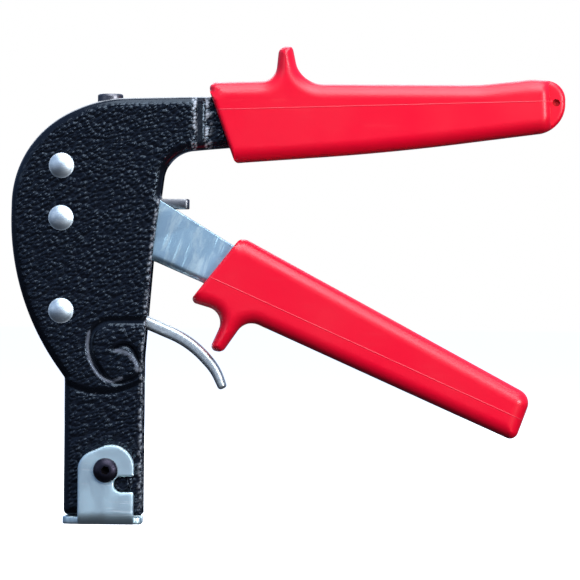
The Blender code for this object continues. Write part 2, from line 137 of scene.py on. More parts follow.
def distanceTo(points, line, closed=False):  # shortest distance from each point to a polyline
    return runDistance(points, zip(line, np.roll(line, -1, axis=0) if closed else line[1:]))


def isInside(points, loop):
    x, z = points[:, 0], points[:, 1]
    result = np.zeros(len(points), bool)
    for a, b in zip(loop, np.roll(loop, -1, axis=0)):
        if a[1] == b[1]:
            continue
        crosses = ((a[1] > z) != (b[1] > z)) & (x < (b[0] - a[0]) * (z - a[1]) / (b[1] - a[1]) + a[0])
        result ^= crosses
    return result


def smooth(value):  # soft step from 0 to 1
    t = np.clip(value, 0, 1)
    return t * t * (3 - 2 * t)


def band(value, low, lowEase, high, highEase):  # 1 between low and high, with soft ends inside them
    return smooth((value - low) / lowEase) * smooth((high - value) / highEase)


def flatFace(half):
    return lambda p: np.full(len(p), -half)


def allRound(radius):  # one edge group: every edge rounded alike
    return [(radius, lambda p: True)]


def edgeRuns(loop, edges):  # splits a loop's points into one polyline per edge group, by a test on each point
    runs = []
    for radius, test in edges:
        chosen = np.array([test(p) for p in loop])
        run = [np.array([loop[i], loop[(i + 1) % len(loop)]]) for i in range(len(loop))
               if chosen[i] and chosen[(i + 1) % len(loop)]]
        runs.append((radius, run))
    return runs


def edgeDrop(points, runs):  # how far each edge group's rounding lowers a point of the face
    drop = np.zeros(len(points))
    for radius, run in runs:
        gap = np.clip(radius - runDistance(points, run), 0, radius)
        drop = np.maximum(drop, radius - np.sqrt(np.maximum(radius ** 2 - gap ** 2, 0)))
    return drop


def facePoints(loop, runs, grid, extra=()):  # rows of points along the rounded edges, then a grid
    kept = []
    for radius, run in runs:
        count = 7 if radius > 1 else 3
        for step in range(1, count + 1):
            reach = radius * (1 - math.cos(math.pi / 2 * step / count))
            row = [(a + b) / 2 + reach * leftOf(unit(b - a)) for a, b in run]
            if row:
                row = np.array(row)
                clear = distanceTo(row, loop, closed=True) > reach * 0.97
                kept.append(row[clear & isInside(row, loop)])
    edge = max([0.4 * grid] + [radius + 0.35 * grid for radius, run in runs if run and radius <= 1])
    low, high = loop.min(axis=0), loop.max(axis=0)
    across = np.arange(low[0], high[0], grid)
    up = np.arange(low[1], high[1], grid * 0.87)
    mesh = np.array([(x + (grid / 2 if j % 2 else 0), z) for j, z in enumerate(up) for x in across])
    far = isInside(mesh, loop) & (distanceTo(mesh, loop, closed=True) > edge)
    for radius, run in runs:
        if radius > 1 and run:
            far &= runDistance(mesh, run) > radius * 0.9
    kept.append(mesh[far])
    for line in extra:
        line = np.array(line)
        kept.append(line[isInside(line, loop) & (distanceTo(line, loop, closed=True) > edge)])
    return np.concatenate(kept)


def triangulate(loop, points):  # inside triangles of a loop with inner points
    flat = [Vector(p) for p in loop] + [Vector(p) for p in points]
    verts, _, faces, origin, _, _ = delaunay_2d_cdt(flat, [], [list(range(len(loop)))], 1, 1e-5)
    place = {}
    for new, olds in enumerate(origin):
        for old in olds:
            place[old] = new
    border = [place[i] for i in range(len(loop))]
    return np.array([(v.x, v.y) for v in verts]), [tuple(f) for f in faces], border


sharpAngle = math.radians(38)


def makeMesh(name, points, faces):  # a closed mesh from points in millimetres, its faces turned outward
    mesh = bpy.data.meshes.new(name)
    mesh.from_pydata((np.asarray(points, float) * mm).tolist(), [], faces)
    bm = bmesh.new()
    bm.from_mesh(mesh)
    bmesh.ops.remove_doubles(bm, verts=bm.verts, dist=2e-6)
    bmesh.ops.recalc_face_normals(bm, faces=bm.faces)
    if bm.calc_volume(signed=True) < 0:
        bmesh.ops.reverse_faces(bm, faces=bm.faces)
    bm.to_mesh(mesh)
    bm.free()
    mesh.shade_smooth()
    mesh.set_sharp_from_angle(angle=sharpAngle)
    piece = bpy.data.objects.new(name, mesh)
    bpy.context.scene.collection.objects.link(piece)
    return piece


def plate(name, loop, edges, front, back=None, grid=1.2, extra=(), bend=None):
    # front(points) is the face's y before its edges are rounded; back is a flat y, or None to mirror the face
    runs = edgeRuns(loop, edges)
    points, faces, border = triangulate(loop, facePoints(loop, runs, grid, extra))
    lift = front(points) + edgeDrop(points, runs)
    count = len(points)
    rear = np.full(count, float(back)) if back is not None else -lift
    solid = np.concatenate([
        np.column_stack([points[:, 0], lift, points[:, 1]]),
        np.column_stack([points[:, 0], rear, points[:, 1]])])
    skin = list(faces) + [tuple(i + count for i in reversed(f)) for f in faces]
    for i, a in enumerate(border):
        b = border[(i + 1) % len(border)]
        skin.append((a, a + count, b + count, b))
    if bend:
        solid = bend(solid)
    return makeMesh(name, solid, skin)


def sheetPlate(name, loop, edges, low, high, grid, bend):  # a flat plate with both faces' edges eased
    middle, half = (low + high) / 2, (high - low) / 2

    def shift(solid):
        moved = solid.copy()
        moved[:, 1] += middle
        return bend(moved)
    return plate(name, loop, edges, flatFace(half), grid=grid, bend=shift)


def upright(solid):  # a plate drawn in plan: its y becomes height
    return np.column_stack([solid[:, 0], solid[:, 2], solid[:, 1]])


def turnedMesh(name, profile, spot, axis, sides=64):  # profile: (radius, place along the axis)
    axis = Vector(axis)
    across = axis.orthogonal().normalized()
    other = axis.cross(across)
    points, faces = [], []
    for radius, along in profile:
        for k in range(sides):
            angle = 2 * math.pi * k / sides
            spoke = (across * math.cos(angle) + other * math.sin(angle)) * radius
            points.append(Vector(spot) + axis * along + spoke)
    for i in range(len(profile) - 1):
        for k in range(sides):
            j = (k + 1) % sides
            faces.append((i * sides + k, (i + 1) * sides + k, (i + 1) * sides + j, i * sides + j))
    return makeMesh(name, [tuple(p) for p in points], faces)


def easedProfile(profile, ease, steps=4):  # rounds the inner corners of a turned profile
    result = [profile[0]]
    for before, here, after in zip(profile, profile[1:], profile[2:]):
        a, b, c = (np.array(p, float) for p in (before, here, after))
        cut = min(ease, np.linalg.norm(b - a) * 0.45, np.linalg.norm(c - b) * 0.45)
        start, end = b + unit(a - b) * cut, b + unit(c - b) * cut
        for k in range(steps + 1):
            t = k / steps
            result.append(tuple((1 - t) ** 2 * start + 2 * t * (1 - t) * b + t ** 2 * end))
    return result + [profile[-1]]


def boxTool(name, low, high):
    corners = [(x, y, z) for x in (low[0], high[0]) for y in (low[1], high[1]) for z in (low[2], high[2])]
    faces = [(0, 1, 3, 2), (4, 6, 7, 5), (0, 4, 5, 1), (2, 3, 7, 6), (0, 2, 6, 4), (1, 5, 7, 3)]
    return makeMesh(name, corners, faces)


def rodTool(name, spot, axis, radius, low, high, sides=64):
    return turnedMesh(name, [(0, low), (radius, low), (radius, high), (0, high)], spot, axis, sides)


def carve(piece, tools, operation="DIFFERENCE"):  # applies Booleans, then removes the tools
    for tool in tools:
        modifier = piece.modifiers.new("carve", "BOOLEAN")
        modifier.operation = operation
        modifier.solver = "MANIFOLD"
        modifier.object = tool
    settle(piece)
    for tool in tools:
        bpy.data.objects.remove(tool, do_unlink=True)
    piece.data.set_sharp_from_angle(angle=sharpAngle)
    return piece


def settle(piece):  # turns the evaluated piece into its own plain mesh
    bpy.context.view_layer.update()
    result = bpy.data.meshes.new_from_object(piece.evaluated_get(bpy.context.evaluated_depsgraph_get()))
    piece.modifiers.clear()
    piece.data = result
    result.name = piece.name


def faceSpots(piece):  # a piece's points as (x, z) and y, in millimetres
    spots = np.empty(len(piece.data.vertices) * 3)
    piece.data.vertices.foreach_get("co", spots)
    spots = spots.reshape(-1, 3) / mm
    return spots[:, (0, 2)], spots[:, 1]


def setMask(piece, name, values):
    attribute = piece.data.attributes.new(name, "FLOAT", "POINT")
    attribute.data.foreach_set("value", np.asarray(values, np.float32))


def prismTool(name, corners, low, high):  # a plain prism between two depths, for cutting
    corners = [tuple(c[:2]) for c in corners]
    count = len(corners)
    points = [(x, y, z) for y in (low, high) for x, z in corners]
    faces = [tuple(range(count)), tuple(reversed(range(count, 2 * count)))]
    faces += [(i, i + count, (i + 1) % count + count, (i + 1) % count) for i in range(count)]
    return makeMesh(name, points, faces)


def nearLine(a, b, reach=0.5):  # a test for loop points that lie on the straight from a to b
    line = np.array([a, b], float)
    return lambda p: distanceTo(np.array([p]), line)[0] < reach


def arcPoints(centre, radius, start, end, count):
    angles = np.radians(np.linspace(start, end, count))
    return [(centre[0] + radius * math.cos(a), centre[1] + radius * math.sin(a)) for a in angles]


def insetCorners(corners, depth):  # the same rounded outline drawn in by depth
    result = []
    spots = [np.array(c[:2], float) for c in corners]
    for i, corner in enumerate(corners):
        into, out = unit(spots[i] - spots[i - 1]), unit(spots[(i + 1) % len(spots)] - spots[i])
        moved = spots[i] + miter(into, out) * depth
        convex = crossing(into, out) > 0
        result.append((*moved, max(0.1, corner[2] - depth) if convex else corner[2] + depth))
    return result


def smoothPath(corners, spacing=0.5):  # an open line with rounded bends
    closed = roundedLoop([(*corners[0][:2], 0), *corners[1:-1], (*corners[-1][:2], 0)], spacing)
    first = int(np.argmin(np.hypot(*(closed - np.array(corners[0][:2])).T)))
    last = int(np.argmin(np.hypot(*(closed - np.array(corners[-1][:2])).T)))
    return np.roll(closed, -first, axis=0)[:(last - first) % len(closed) + 1]


def alongside(path, offsets):  # rows of points beside a line
    direction = np.gradient(path, axis=0)
    direction /= np.linalg.norm(direction, axis=1)[:, None]
    normal = np.column_stack([-direction[:, 1], direction[:, 0]])
    return [path + normal * offset for offset in offsets]


# Housing shells

shellSet = {
    "bodyHalf": 11.5,
    "noseHalf": 10.3,
    "tangHalf": 8.2,
    "sheet": 2.5,
    "seam": 0.15,
    "rim": 3.4,
    "rawEdge": 1.1,
    "joggle": (51.1, 3.7, -2.0, 14.0),  # foot of the wide body: lowest z, sag, middle x and reach
    "step": ((31.4, 0.0), (33.7, 0.85), (36.4, 0.85), (37.4, 0.25), (39.8, 0.0)),  # (x, slope) down to the tang
    "throatTop": 138.5,
    "rivetHole": 3.3,
    "rodHole": 5.3,
    "beadDepth": (0.4, 1.0),
    "beadWidth": (2.5, 0.95),
    "outline": [
        (-16.3, 3.45, 2.3), (13.9, 3.45, 1.0), (13.9, 63.7, 58), (17.1, 103.1, 77), (22.2, 143.0, 12.3),
        (98.0, 149.6, 0), (98.0, 166.2, 0), (-4.5, 163.4, 49), (-36.8, 147.3, 40), (-38.0, 86.8, 98),
        (-16.3, 56.2, 1.0)],
    "bead": [
        (15.6, 78.4, 0), (-6.6, 78.2, 8.5), (-6.9, 65.0, 9), (1.6, 52.9, 8), (15.0, 57.6, 5), (8.6, 70.2, 4.5),
        (2.6, 67.6, 0)],
    "beadPaintedShine": (  # lines of painted highlight on the bead's crest, and their widths
        ([(-6.9, 74.0), (-7.6, 69.5), (-7.2, 65.0), (-5.5, 60.4), (-3.0, 57.1), (-0.4, 55.2), (2.5, 54.8),
          (5.6, 56.2)], 0.5),
        ([(11.8, 59.4), (11.2, 62.2), (9.1, 64.9), (6.6, 66.5), (3.6, 66.7)], 0.7)),
    "shineRound": 6,
}


def rawEdgeTest(p):  # the lever side and the mouth under the nose are cut sheet, with no flange
    return (p[1] < 126 and p[0] > 12) or (p[1] < 4 and p[0] > -9.5) or p[0] > 97


def joggleHeight(x):  # curved foot of the wide body, where the shell steps in to the nose
    low, sag, middle, reach = shellSet["joggle"]
    return low + sag * ((x - middle) / reach) ** 2


def shellHalf(p):  # outer half thickness: wide body, stepping down to the nose and the handle tang
    s = shellSet
    half = s["noseHalf"] + (s["bodyHalf"] - s["noseHalf"]) * smooth((p[:, 1] - joggleHeight(p[:, 0]) + 1.2) / 2.4)
    spots = np.linspace(s["step"][0][0], s["step"][-1][0], 60)
    slope = np.interp(spots, *zip(*s["step"]))
    fall = np.concatenate([[0], np.cumsum((slope[1:] + slope[:-1]) / 2)])
    return half - (s["bodyHalf"] - s["tangHalf"]) * np.interp(p[:, 0], spots, fall / fall[-1])


def beadShape(p, path):  # valley of the pressed bead, narrowing from the open edge to its curl
    wide, narrow = shellSet["beadWidth"]
    shallow, deep = shellSet["beadDepth"]
    best, depth = np.full(len(p), 1e9), np.full(len(p), deep)
    for i, (a, b) in enumerate(zip(path, path[1:])):
        part = min(1.0, 2.6 * i / len(path))
        width = wide + (narrow - wide) * part
        off = offsetFrom(p, a, b)
        inner = crossing(b - a, off.T) > 0
        ease = 1 - smooth(np.array((i / len(path) - 0.35) / 0.3))
        gap = np.hypot(*off.T) / (width * np.where(inner, 1 + 1.3 * ease, 1 - 0.35 * ease))
        depth = np.where(gap < best, shallow + (deep - shallow) * part, depth)
        best = np.minimum(best, gap)
    return depth * (1 - smooth(best))


def bossShape(p):  # round key boss in the nose plate's notch, with a dimple
    gap = distanceTo(p, np.array([(5.9, 15.5), (6.6, 15.5)]))
    return 1.7 * smooth((3.1 - gap) / 0.8) - 0.5 * smooth((1.7 - gap) / 1.4)


def shellPiece(name, node, side):
    s = shellSet
    loop = roundedLoop(s["outline"], 0.8)
    edges = [(s["rawEdge"], rawEdgeTest), (s["rim"], lambda p: not rawEdgeTest(p))]
    bead = smoothPath(s["bead"], 0.6)
    boss = arcPoints((6.2, 15.5), 3.1, 0, 350, 28) + arcPoints((6.2, 15.5), 2.3, 0, 350, 24)
    joggle = [
        (x, joggleHeight(x) + dz) for x in np.arange(-15, 13.6, 0.9) for dz in (-1.2, -0.6, 0, 0.6, 1.2)]
    extra = alongside(bead, (-2.4, -1.7, -1.15, -0.7, -0.3, 0, 0.3, 0.7, 1.15, 1.7, 2.4)) + [boss, joggle]
    extra += [[(x, z) for z in np.arange(138, 168, 1.0)] for x in np.arange(31.4, 40.2, 0.45)]

    def front(p):
        key = bossShape(p) if side > 0 else 0
        return -shellHalf(p) + beadShape(p, bead) - key
    shell = plate(
        name, loop, edges, front, back=-s["seam"], grid=1.1, extra=extra,
        bend=lambda solid: solid * (1, side, 1))
    inner = insetCorners(s["outline"], s["sheet"])
    hollow = [inner[0], (-9.5, inner[0][1], 0), (-9.5, -2, 0), (30, -2, 0), (30, s["throatTop"], 0)]
    hollow += [(x, z, 0) for x, z in arcPoints((33.14, 131.6), 14.8, 152, 96, 12)]
    hollow += [(105, 152.8, 0), (105, 163.9, 0)] + inner[7:]
    tool = plate(
        name + "Hollow", roundedLoop(hollow, 2.0), allRound(1.0),
        lambda p: -shellHalf(p) + s["sheet"], back=1.0, grid=3.0, bend=lambda solid: solid * (1, side, 1))
    tools = [tool, rodTool(name + "Rod", (0, 0, 0), (0, 0, 1), s["rodHole"], 150, 180)]
    for rivet in ("upper_rivet", "pivot_rivet", "lower_rivet"):
        tools.append(rodTool(name + rivet, nodeMiddle(rivet), (0, 1, 0), s["rivetHole"], -20, 20, 32))
    if side > 0:
        tools.append(rodTool(name + "Screw", nodeMiddle("nose_screw"), (0, 1, 0), 2.8, -12, 12, 32))
    carve(shell, tools)
    spots, y = faceSpots(shell)
    runs = edgeRuns(loop, edges)
    rimGap, rawGap = runDistance(spots, runs[1][1]), runDistance(spots, runs[0][1])
    onBead = smooth((1.9 - distanceTo(spots, bead)) / 0.8)
    onFace = np.abs(y) > 4
    x, z = spots.T
    rub = (band(x, 31.6, 0.5, 33.8, 0.4) + 0.9 * band(x, 36.7, 0.3, 40.0, 2.2)) * (z > 139)  # painted highlight: pale strips beside the step, where its shoulder and foot catch light
    rub = np.maximum(rub, 0.6 * band(rawGap, 0.15, 0.3, 1.5, 0.5) * (z > 5))  # painted highlight along the cut edge, where the grain catches light
    shine = np.zeros(len(spots))
    for line, width in s["beadPaintedShine"]:  # painted highlight: the paint turns pale grey along the bead's crest, where it catches light
        line = smoothPath([(*spot, s["shineRound"]) for spot in line], 0.6)
        shine = np.maximum(shine, 1 - smooth((distanceTo(spots, line) - 0.5 * width) / (0.9 * width)))
    # mask of the painted highlights beside the step and along the cut edge
    setMask(shell, "rub", np.where(onFace, rub, 0))
    setMask(shell, "shine", np.where(onFace, shine, 0))
    onStep = band(x, 33.1, 0.6, 36.6, 0.5) * (z > 136)
    onStep = np.maximum(onStep, band(z - joggleHeight(x), -2.2, 1.0, 1.6, 0.8))
    smoothRim = smooth((s["rim"] - 0.5 - rimGap) / 1.4)
    setMask(shell, "rim", np.maximum(smoothRim, np.maximum(onBead, onStep)))
    setMask(shell, "raw", smooth((0.35 - rawGap) / 0.2))
    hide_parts(node)
    return shell


# Grips

upperGripSet = {
    "half": 12.0,
    "round": 5.4,
    "mouthRound": 1.9,
    "mouth": [(38.6, 166.1), (48.8, 137.8)],
    "seam": [(49.8, 159.8), (167.6, 163.8)],
    "thorn": [(67.4, 183.2), (67.6, 167.5)],
    "step": [(168.1, 180.0), (170.0, 145.0)],
    "stepRound": 3.4,
    "lugHalf": 5.6,
    "lugRound": 1.6,
    "hole": (171.4, 163.4, 1.45),
    "web": 3.8,
    "outline": [
        (38.0, 170.0, 2.4), (38.6, 166.1, 1.2), (48.3, 139.3, 1.5), (108.0, 143.9, 960), (175.0, 152.9, 11.4),
        (174.9, 171.5, 7.4), (162.0, 172.2, 23), (142.1, 169.9, 58), (73.0, 169.7, 11.0), (69.9, 184.1, 1.4),
        (64.9, 184.1, 3.0), (63.6, 170.8, 6.1)],
    "pocket": [(25, 142.9), (98.4, 149.2), (98.4, 166.6), (25, 165.0)],
    "pocketHalf": 8.5,
}
lowerGripSet = {
    "half": 12.0,
    "round": 5.4,
    "mouthRound": 1.4,
    "mouth": [(51.1, 110.8), (31.3, 85.8)],
    "seam": [(41.5, 94.3), (158.8, 41.9)],
    "thorn": [(41.8, 67.6), (47.5, 81.5)],
    "outline": [
        (51.1, 110.8, 3.1), (31.3, 85.8, 1.8), (45.5, 81.6, 6.0), (39.0, 67.2, 2.0), (44.0, 66.5, 2.4),
        (52.9, 79.3, 6.7), (156.7, 33.2, 3.2), (163.0, 50.6, 5.4)],
    "pocket": [
        (17.3, 100.9), (37.0, 92.4), (140.3, 44.9), (140.3, 57.5), (48.3, 107.6), (17.3, 126.6)],
    "pocketHalf": 8.8,
}


def gripPiece(name, node, s):
    loop = roundedLoop(s["outline"], 0.8)
    atMouth = nearLine(*s["mouth"])
    edges = [(s["mouthRound"], atMouth), (s["round"], lambda p: not atMouth(p))]
    runs = edgeRuns(loop, edges)
    extra = []
    front = flatFace(s["half"])
    if "step" in s:  # the end steps down to a flat lug
        a, b = np.array(s["step"])
        across = leftOf(unit(b - a))
        line = fillSpacing(np.array([a, b]), 0.5, closed=False)

        def front(p):
            gap = (p - a) @ -across
            ease = s["stepRound"]
            inside = np.clip(ease - gap, 0, ease)
            main = s["half"] - ease + np.sqrt(ease ** 2 - inside ** 2)
            soften = edgeDrop(p, runs)  # the lug's edges are rounded less than the grip's
            lug = s["lugHalf"] + soften - edgeDrop(p, [(s["lugRound"], run) for _, run in runs])
            return -np.where(gap > 0, main, lug)
        extra = [line - across * gap for gap in (-0.05, 0.05, 0.25, 0.6, 1.1, 1.8, 2.6, 3.5)]
    thorn = fillSpacing(np.array(s["thorn"], float), 0.6, closed=False)
    extra = extra + alongside(thorn, (-1.5, -0.75, 0, 0.75, 1.5))
    grip = plate(name, loop, edges, front, grid=1.3, extra=extra)
    tools = [prismTool(name + "Pocket", s["pocket"], -s["pocketHalf"], s["pocketHalf"])]
    if "hole" in s:
        x, z, radius = s["hole"]
        for side in (-1, 1):  # the hanging hole is blind from both sides
            low, high = sorted((side * s["web"], side * 20))
            tools.append(rodTool(name + "Hole", (x, 0, z), (0, 1, 0), radius, low, high, 32))
    carve(grip, tools)
    spots, y = faceSpots(grip)
    inHole = np.zeros(len(y))
    if "hole" in s:
        inHole = (np.hypot(*(spots - (x, z)).T) < radius + 0.05) & (np.abs(y) < s["lugHalf"] - 0.3)
    # painted shade: the inside of the blind hole is marked to be coloured darker red
    setMask(grip, "pit", inHole)
    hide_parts(node)
    return grip


# Nose plate and its screw

nosePlateSet = {
    "thick": 3.1,
    "front": -13.7,
    "bend": 4.5,
    "rear": 10.3,
    "slot": 3.3,
    "footLeft": -16.75,
    "footRight": 13.7,
}


def nosePlatePiece():
    s = nosePlateSet
    middle = s["bend"] - s["thick"] / 2
    bendLength = middle * math.pi / 2
    bendEnd = s["bend"] - bendLength  # the flat blank's place where the foot begins
    footY = s["front"] + s["bend"]

    def blank(y):  # place on the flat blank of a depth y on the foot
        return bendEnd - (y - footY)
    rear, slotNear, slotFar, step = blank(s["rear"]), blank(-s["slot"]), blank(s["slot"]), blank(-8.4)
    outline = [
        (s["footLeft"], rear, 4), (s["footRight"], rear, 3.5), (s["footRight"], slotFar, 0.5),
        (-s["slot"], slotFar, s["slot"] - 0.02), (-s["slot"], slotNear, s["slot"] - 0.02),
        (s["footRight"], slotNear, 0.5), (s["footRight"], step, 2.5), (10.75, step, 0.6), (10.75, 12.55, 0.7),
        (3.15, 12.55, 2.9), (3.15, 18.5, 2.9), (10.85, 18.5, 0.7), (10.95, 26.2, 8.6), (3.2, 31.9, 8.6),
        (-10.7, 25.9, 7.5), (-10.7, step, 0.6), (s["footLeft"], step, 3.5)]

    def bend(solid):
        x, depth, v = solid[:, 0], solid[:, 1], solid[:, 2]  # depth: 0 on the outer face, thick on the inner
        turn = np.clip((s["bend"] - v) / bendLength, 0, 1) * math.pi / 2
        radius = s["bend"] - depth
        y = np.where(v > s["bend"], s["front"] + depth, footY - radius * np.cos(turn))
        z = np.where(v > s["bend"], v, s["bend"] - radius * np.sin(turn))
        past = v < bendEnd
        y = np.where(past, footY + (bendEnd - v), y)
        z = np.where(past, depth, z)
        return np.column_stack([x, y, z])
    loop = roundedLoop(outline, 0.5)
    piece = sheetPlate("nosePlate", loop, allRound(0.65), 0, s["thick"], grid=0.9, bend=bend)
    screw = nodeMiddle("nose_screw")
    carve(piece, [rodTool("noseHole", (screw[0], 0, screw[2]), (0, 1, 0), 2.8, -20, -6, 32)])
    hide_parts("nose_plate")
    return piece


noseScrewSet = {
    "seat": -14.0,
    "tip": -7.8,
    "headR": 4.75,
    "headRise": 2.3,
    "shankR": 2.5,
    "socketR": 1.73,
}


def noseScrewPiece():
    s = noseScrewSet
    seat, tip, headR, shankR = s["seat"], s["tip"], s["headR"], s["shankR"]
    dome = [(headR * math.sin(a), seat - 0.45 - s["headRise"] * math.cos(a))
            for a in np.radians(np.linspace(28, 90, 14))]
    profile = [(0, dome[0][1]), *dome, (headR, seat - 0.1), (headR - 0.1, seat), (shankR, seat),
               (shankR, tip + 0.4), (shankR - 0.4, tip), (0, tip)]
    middle = nodeMiddle("nose_screw")
    spot = (middle[0], 0, middle[2])
    screw = turnedMesh("noseScrew", profile, spot, (0, 1, 0), 64)
    socket = [(0, seat - 0.2), (s["socketR"], seat - 0.6), (s["socketR"], -20), (0, -20)]
    hexagon = turnedMesh("socket", socket, spot, (0, 1, 0), 6)
    carve(screw, [hexagon])
    spots, y = faceSpots(screw)
    gap = np.hypot(spots[:, 0] - middle[0], spots[:, 1] - middle[2])
    # painted shade inside the hex socket
    setMask(screw, "pit", ((gap < 1.8) & (y > dome[0][1] + 0.25)).astype(float))
    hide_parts("nose_screw")
    return screw


# Levers, rod and drive plate

leverSet = {
    "half": 8.5,
    "sheet": 2.5,
    "foldRound": 2.5,
    "boss": 9.0,
    "cam": (-0.4, 114.1, 6.9),
    "bottom": [(17.3, 101.3), (37.0, 92.8), (140.0, 45.3)],
    "top": [(140.0, 57.1), (48.3, 107.2), (13.5, 128.5), (13.3, 115.6)],
    "forkEnd": 14.0,
    "pivotHole": 5.9,
}


def leverPiece():
    s = leverSet
    pivot = nodeMiddle("pivot_rivet")
    camX, camZ, camR = s["cam"]
    corners = [(x, z, 0) for x, z in arcPoints((pivot[0], pivot[2]), s["boss"], 10, 258, 40)]
    corners += [(*s["bottom"][0], 20), (*s["bottom"][1], 120), (*s["bottom"][2], 0)]
    corners += [(*s["top"][0], 0), (*s["top"][1], 60), (*s["top"][2], 1.5), (*s["top"][3], 1.0)]
    corners += [(x, z, 0) for x, z in arcPoints((camX, camZ), camR, 66, 140, 16)]
    loop = roundedLoop(corners, 0.9)
    atFold = nearLine(*s["bottom"][:2], 0.6)
    atFoldEnd = nearLine(*s["bottom"][1:], 0.6)

    def onFold(p):
        return atFold(p) or atFoldEnd(p)
    edges = [(0.3, lambda p: not onFold(p)), (s["foldRound"], onFold)]
    lever = plate("handLever", loop, edges, flatFace(s["half"]), grid=1.6)
    (startX, startZ), (bendX, bendZ), (_, endZ) = s["bottom"]
    rise = s["sheet"] / math.cos(math.radians(24))
    start = startZ + (startX - s["forkEnd"]) * 0.43 + rise
    channel = [(-40, 80), (s["forkEnd"], 80), (s["forkEnd"], start), (bendX, bendZ + rise),
               (150, endZ + rise - 4.6), (150, 150), (-40, 150)]
    inner = s["half"] - s["sheet"]
    carve(lever, [
        prismTool("leverChannel", channel, -inner, inner),
        rodTool("leverPivot", (pivot[0], 0, pivot[2]), (0, 1, 0), s["pivotHole"], -20, 20, 48)])
    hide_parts("lever")
    return lever


triggerSet = {
    "path": [(13.5, 78.1), (32.0, 70.3), (41.4, 59.7), (44.4, 52.4)],
    "bends": [12, 38, 22],
    "halves": [2.4, 2.4, 2.35, 2.0, 1.6],
    "innerHalf": 8.0,
    "outerHalf": 6.0,
    "narrowFrom": 11.5,
    "tipRound": 1.3,
    "edge": 1.5,
    "eye": 6.9,
    "pivotHole": 4.5,
    "rodHole": 5.9,
}


def stripCorners(path, bends, halves):  # outline of a bent strip round its centre line
    spots = [np.array(p, float) for p in path]
    left, right = [], []
    for i, here in enumerate(spots):
        into = here - spots[i - 1] if i else spots[1] - here
        out = spots[i + 1] - here if i + 1 < len(spots) else into
        into, out = unit(into), unit(out)
        side = miter(into, out) * halves[i]
        radius = bends[i - 1] if 0 < i < len(spots) - 1 else 0
        grow = math.copysign(halves[i], crossing(into, out)) if radius else 0
        left.append((*(here + side), radius - grow))
        right.append((*(here - side), radius + grow))
    return right + left[::-1]


def triggerPiece():
    s = triggerSet
    pivot = nodeMiddle("lower_rivet")
    path = [(pivot[0], pivot[2])] + s["path"]
    corners = stripCorners(path, s["bends"], s["halves"])
    for tip in (len(path) - 1, len(path)):
        corners[tip] = (*corners[tip][:2], s["tipRound"])
    loop = roundedLoop(corners, 0.8)
    strip = plate("releaseTrigger", loop, allRound(s["edge"]), flatFace(s["innerHalf"]), grid=1.2)
    tail = plate("tail", loop, allRound(s["edge"]), flatFace(s["outerHalf"]), grid=1.2)
    carve(strip, [boxTool("cutFront", (s["narrowFrom"], -20, 40), (80, 20, 90))])
    carve(tail, [boxTool("cutRear", (-40, -20, 40), (s["narrowFrom"] - 1, 20, 100))])
    eye = rodTool("eye", (pivot[0], 0, pivot[2]), (0, 1, 0), s["eye"], -s["innerHalf"], s["innerHalf"], 64)
    carve(strip, [tail, eye], "UNION")
    carve(strip, [
        rodTool("eyeHole", (pivot[0], 0, pivot[2]), (0, 1, 0), s["pivotHole"], -20, 20, 48),
        rodTool("rodHole", (0, 0, 0), (0, 0, 1), s["rodHole"], 70, 90, 48)])
    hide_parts("release_lever")
    return strip


def rodPiece():
    low, high = nodeSpan("pull_rod", 2)
    radius = 4.9
    profile = [(0, low), (radius, low), (radius, high - 0.6), (radius - 0.6, high), (0.9, high),
               (0.5, high - 0.35), (0, high - 0.4)]
    rod = turnedMesh("pullRod", easedProfile(profile, 0.3), (0, 0, 0), (0, 0, 1), 96)
    pinZ = nodeMiddle("holder_pin")[2]
    carve(rod, [rodTool("pinHole", (0, 0, pinZ), (0, 1, 0), 1.8, -20, 20, 32)])
    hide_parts("pull_rod")
    return rod


def drivePlatePiece():
    low, high = nodeSpan("drive_plate", 2)
    shoulder, tail = 8.4, 5.2
    left = [(-9.5, -shoulder, 2), (9.2, -shoulder, 1.5), (9.2, -tail, 0.8), (30.7, -tail, 1.5)]
    outline = left + [(x, -y, radius) for x, y, radius in reversed(left)]
    drive = sheetPlate("drivePlate", roundedLoop(outline, 0.6), allRound(0.45), low, high, grid=1.2, bend=upright)
    carve(drive, [rodTool("driveHole", (0, 0, 0), (0, 0, 1), 5.3, 110, 135, 64)])
    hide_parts("drive_plate")
    return drive


# Geometry nodes: rivets on their places and wire coils

def addNode(tree, kind, inputs=None, **settings):  # adds a node; inputs are values or sockets to link
    node = tree.nodes.new(kind)
    for key, value in settings.items():
        setattr(node, key, value)
    for key, value in (inputs or {}).items():
        socket = node.inputs[key]
        if isinstance(value, bpy.types.NodeSocket):
            tree.links.new(value, socket)
        else:
            socket.default_value = value
    return node


def geometryTree(name, inputs):
    tree = bpy.data.node_groups.new(name, "GeometryNodeTree")
    tree.interface.new_socket("Geometry", in_out="INPUT", socket_type="NodeSocketGeometry")
    for label, kind in inputs:
        tree.interface.new_socket(label, in_out="INPUT", socket_type=kind)
    tree.interface.new_socket("Geometry", in_out="OUTPUT", socket_type="NodeSocketGeometry")
    return tree, tree.nodes.new("NodeGroupInput"), tree.nodes.new("NodeGroupOutput")


def finishTree(tree, end, geometry, material):  # real geometry with its material, as the tree's result
    real = addNode(tree, "GeometryNodeRealizeInstances", {"Geometry": geometry})
    finish = addNode(tree, "GeometryNodeSetMaterial", {"Geometry": real.outputs["Geometry"], "Material": material})
    tree.links.new(finish.outputs["Geometry"], end.inputs["Geometry"])


def runTree(piece, tree, values):  # sets the named inputs, then turns the result into a plain mesh
    modifier = piece.modifiers.new(tree.name, "NODES")
    modifier.node_group = tree
    for item in tree.interface.items_tree:
        if item.item_type == "SOCKET" and item.in_out == "INPUT" and item.name in values:
            modifier[item.identifier] = values[item.name]
    settle(piece)


rivetSet = {
    "headR": 4.9,
    "seat": 11.55,
    "dome": 1.8,
    "shankR": 3.0,
    "nodes": ("upper_rivet", "pivot_rivet", "lower_rivet"),
}


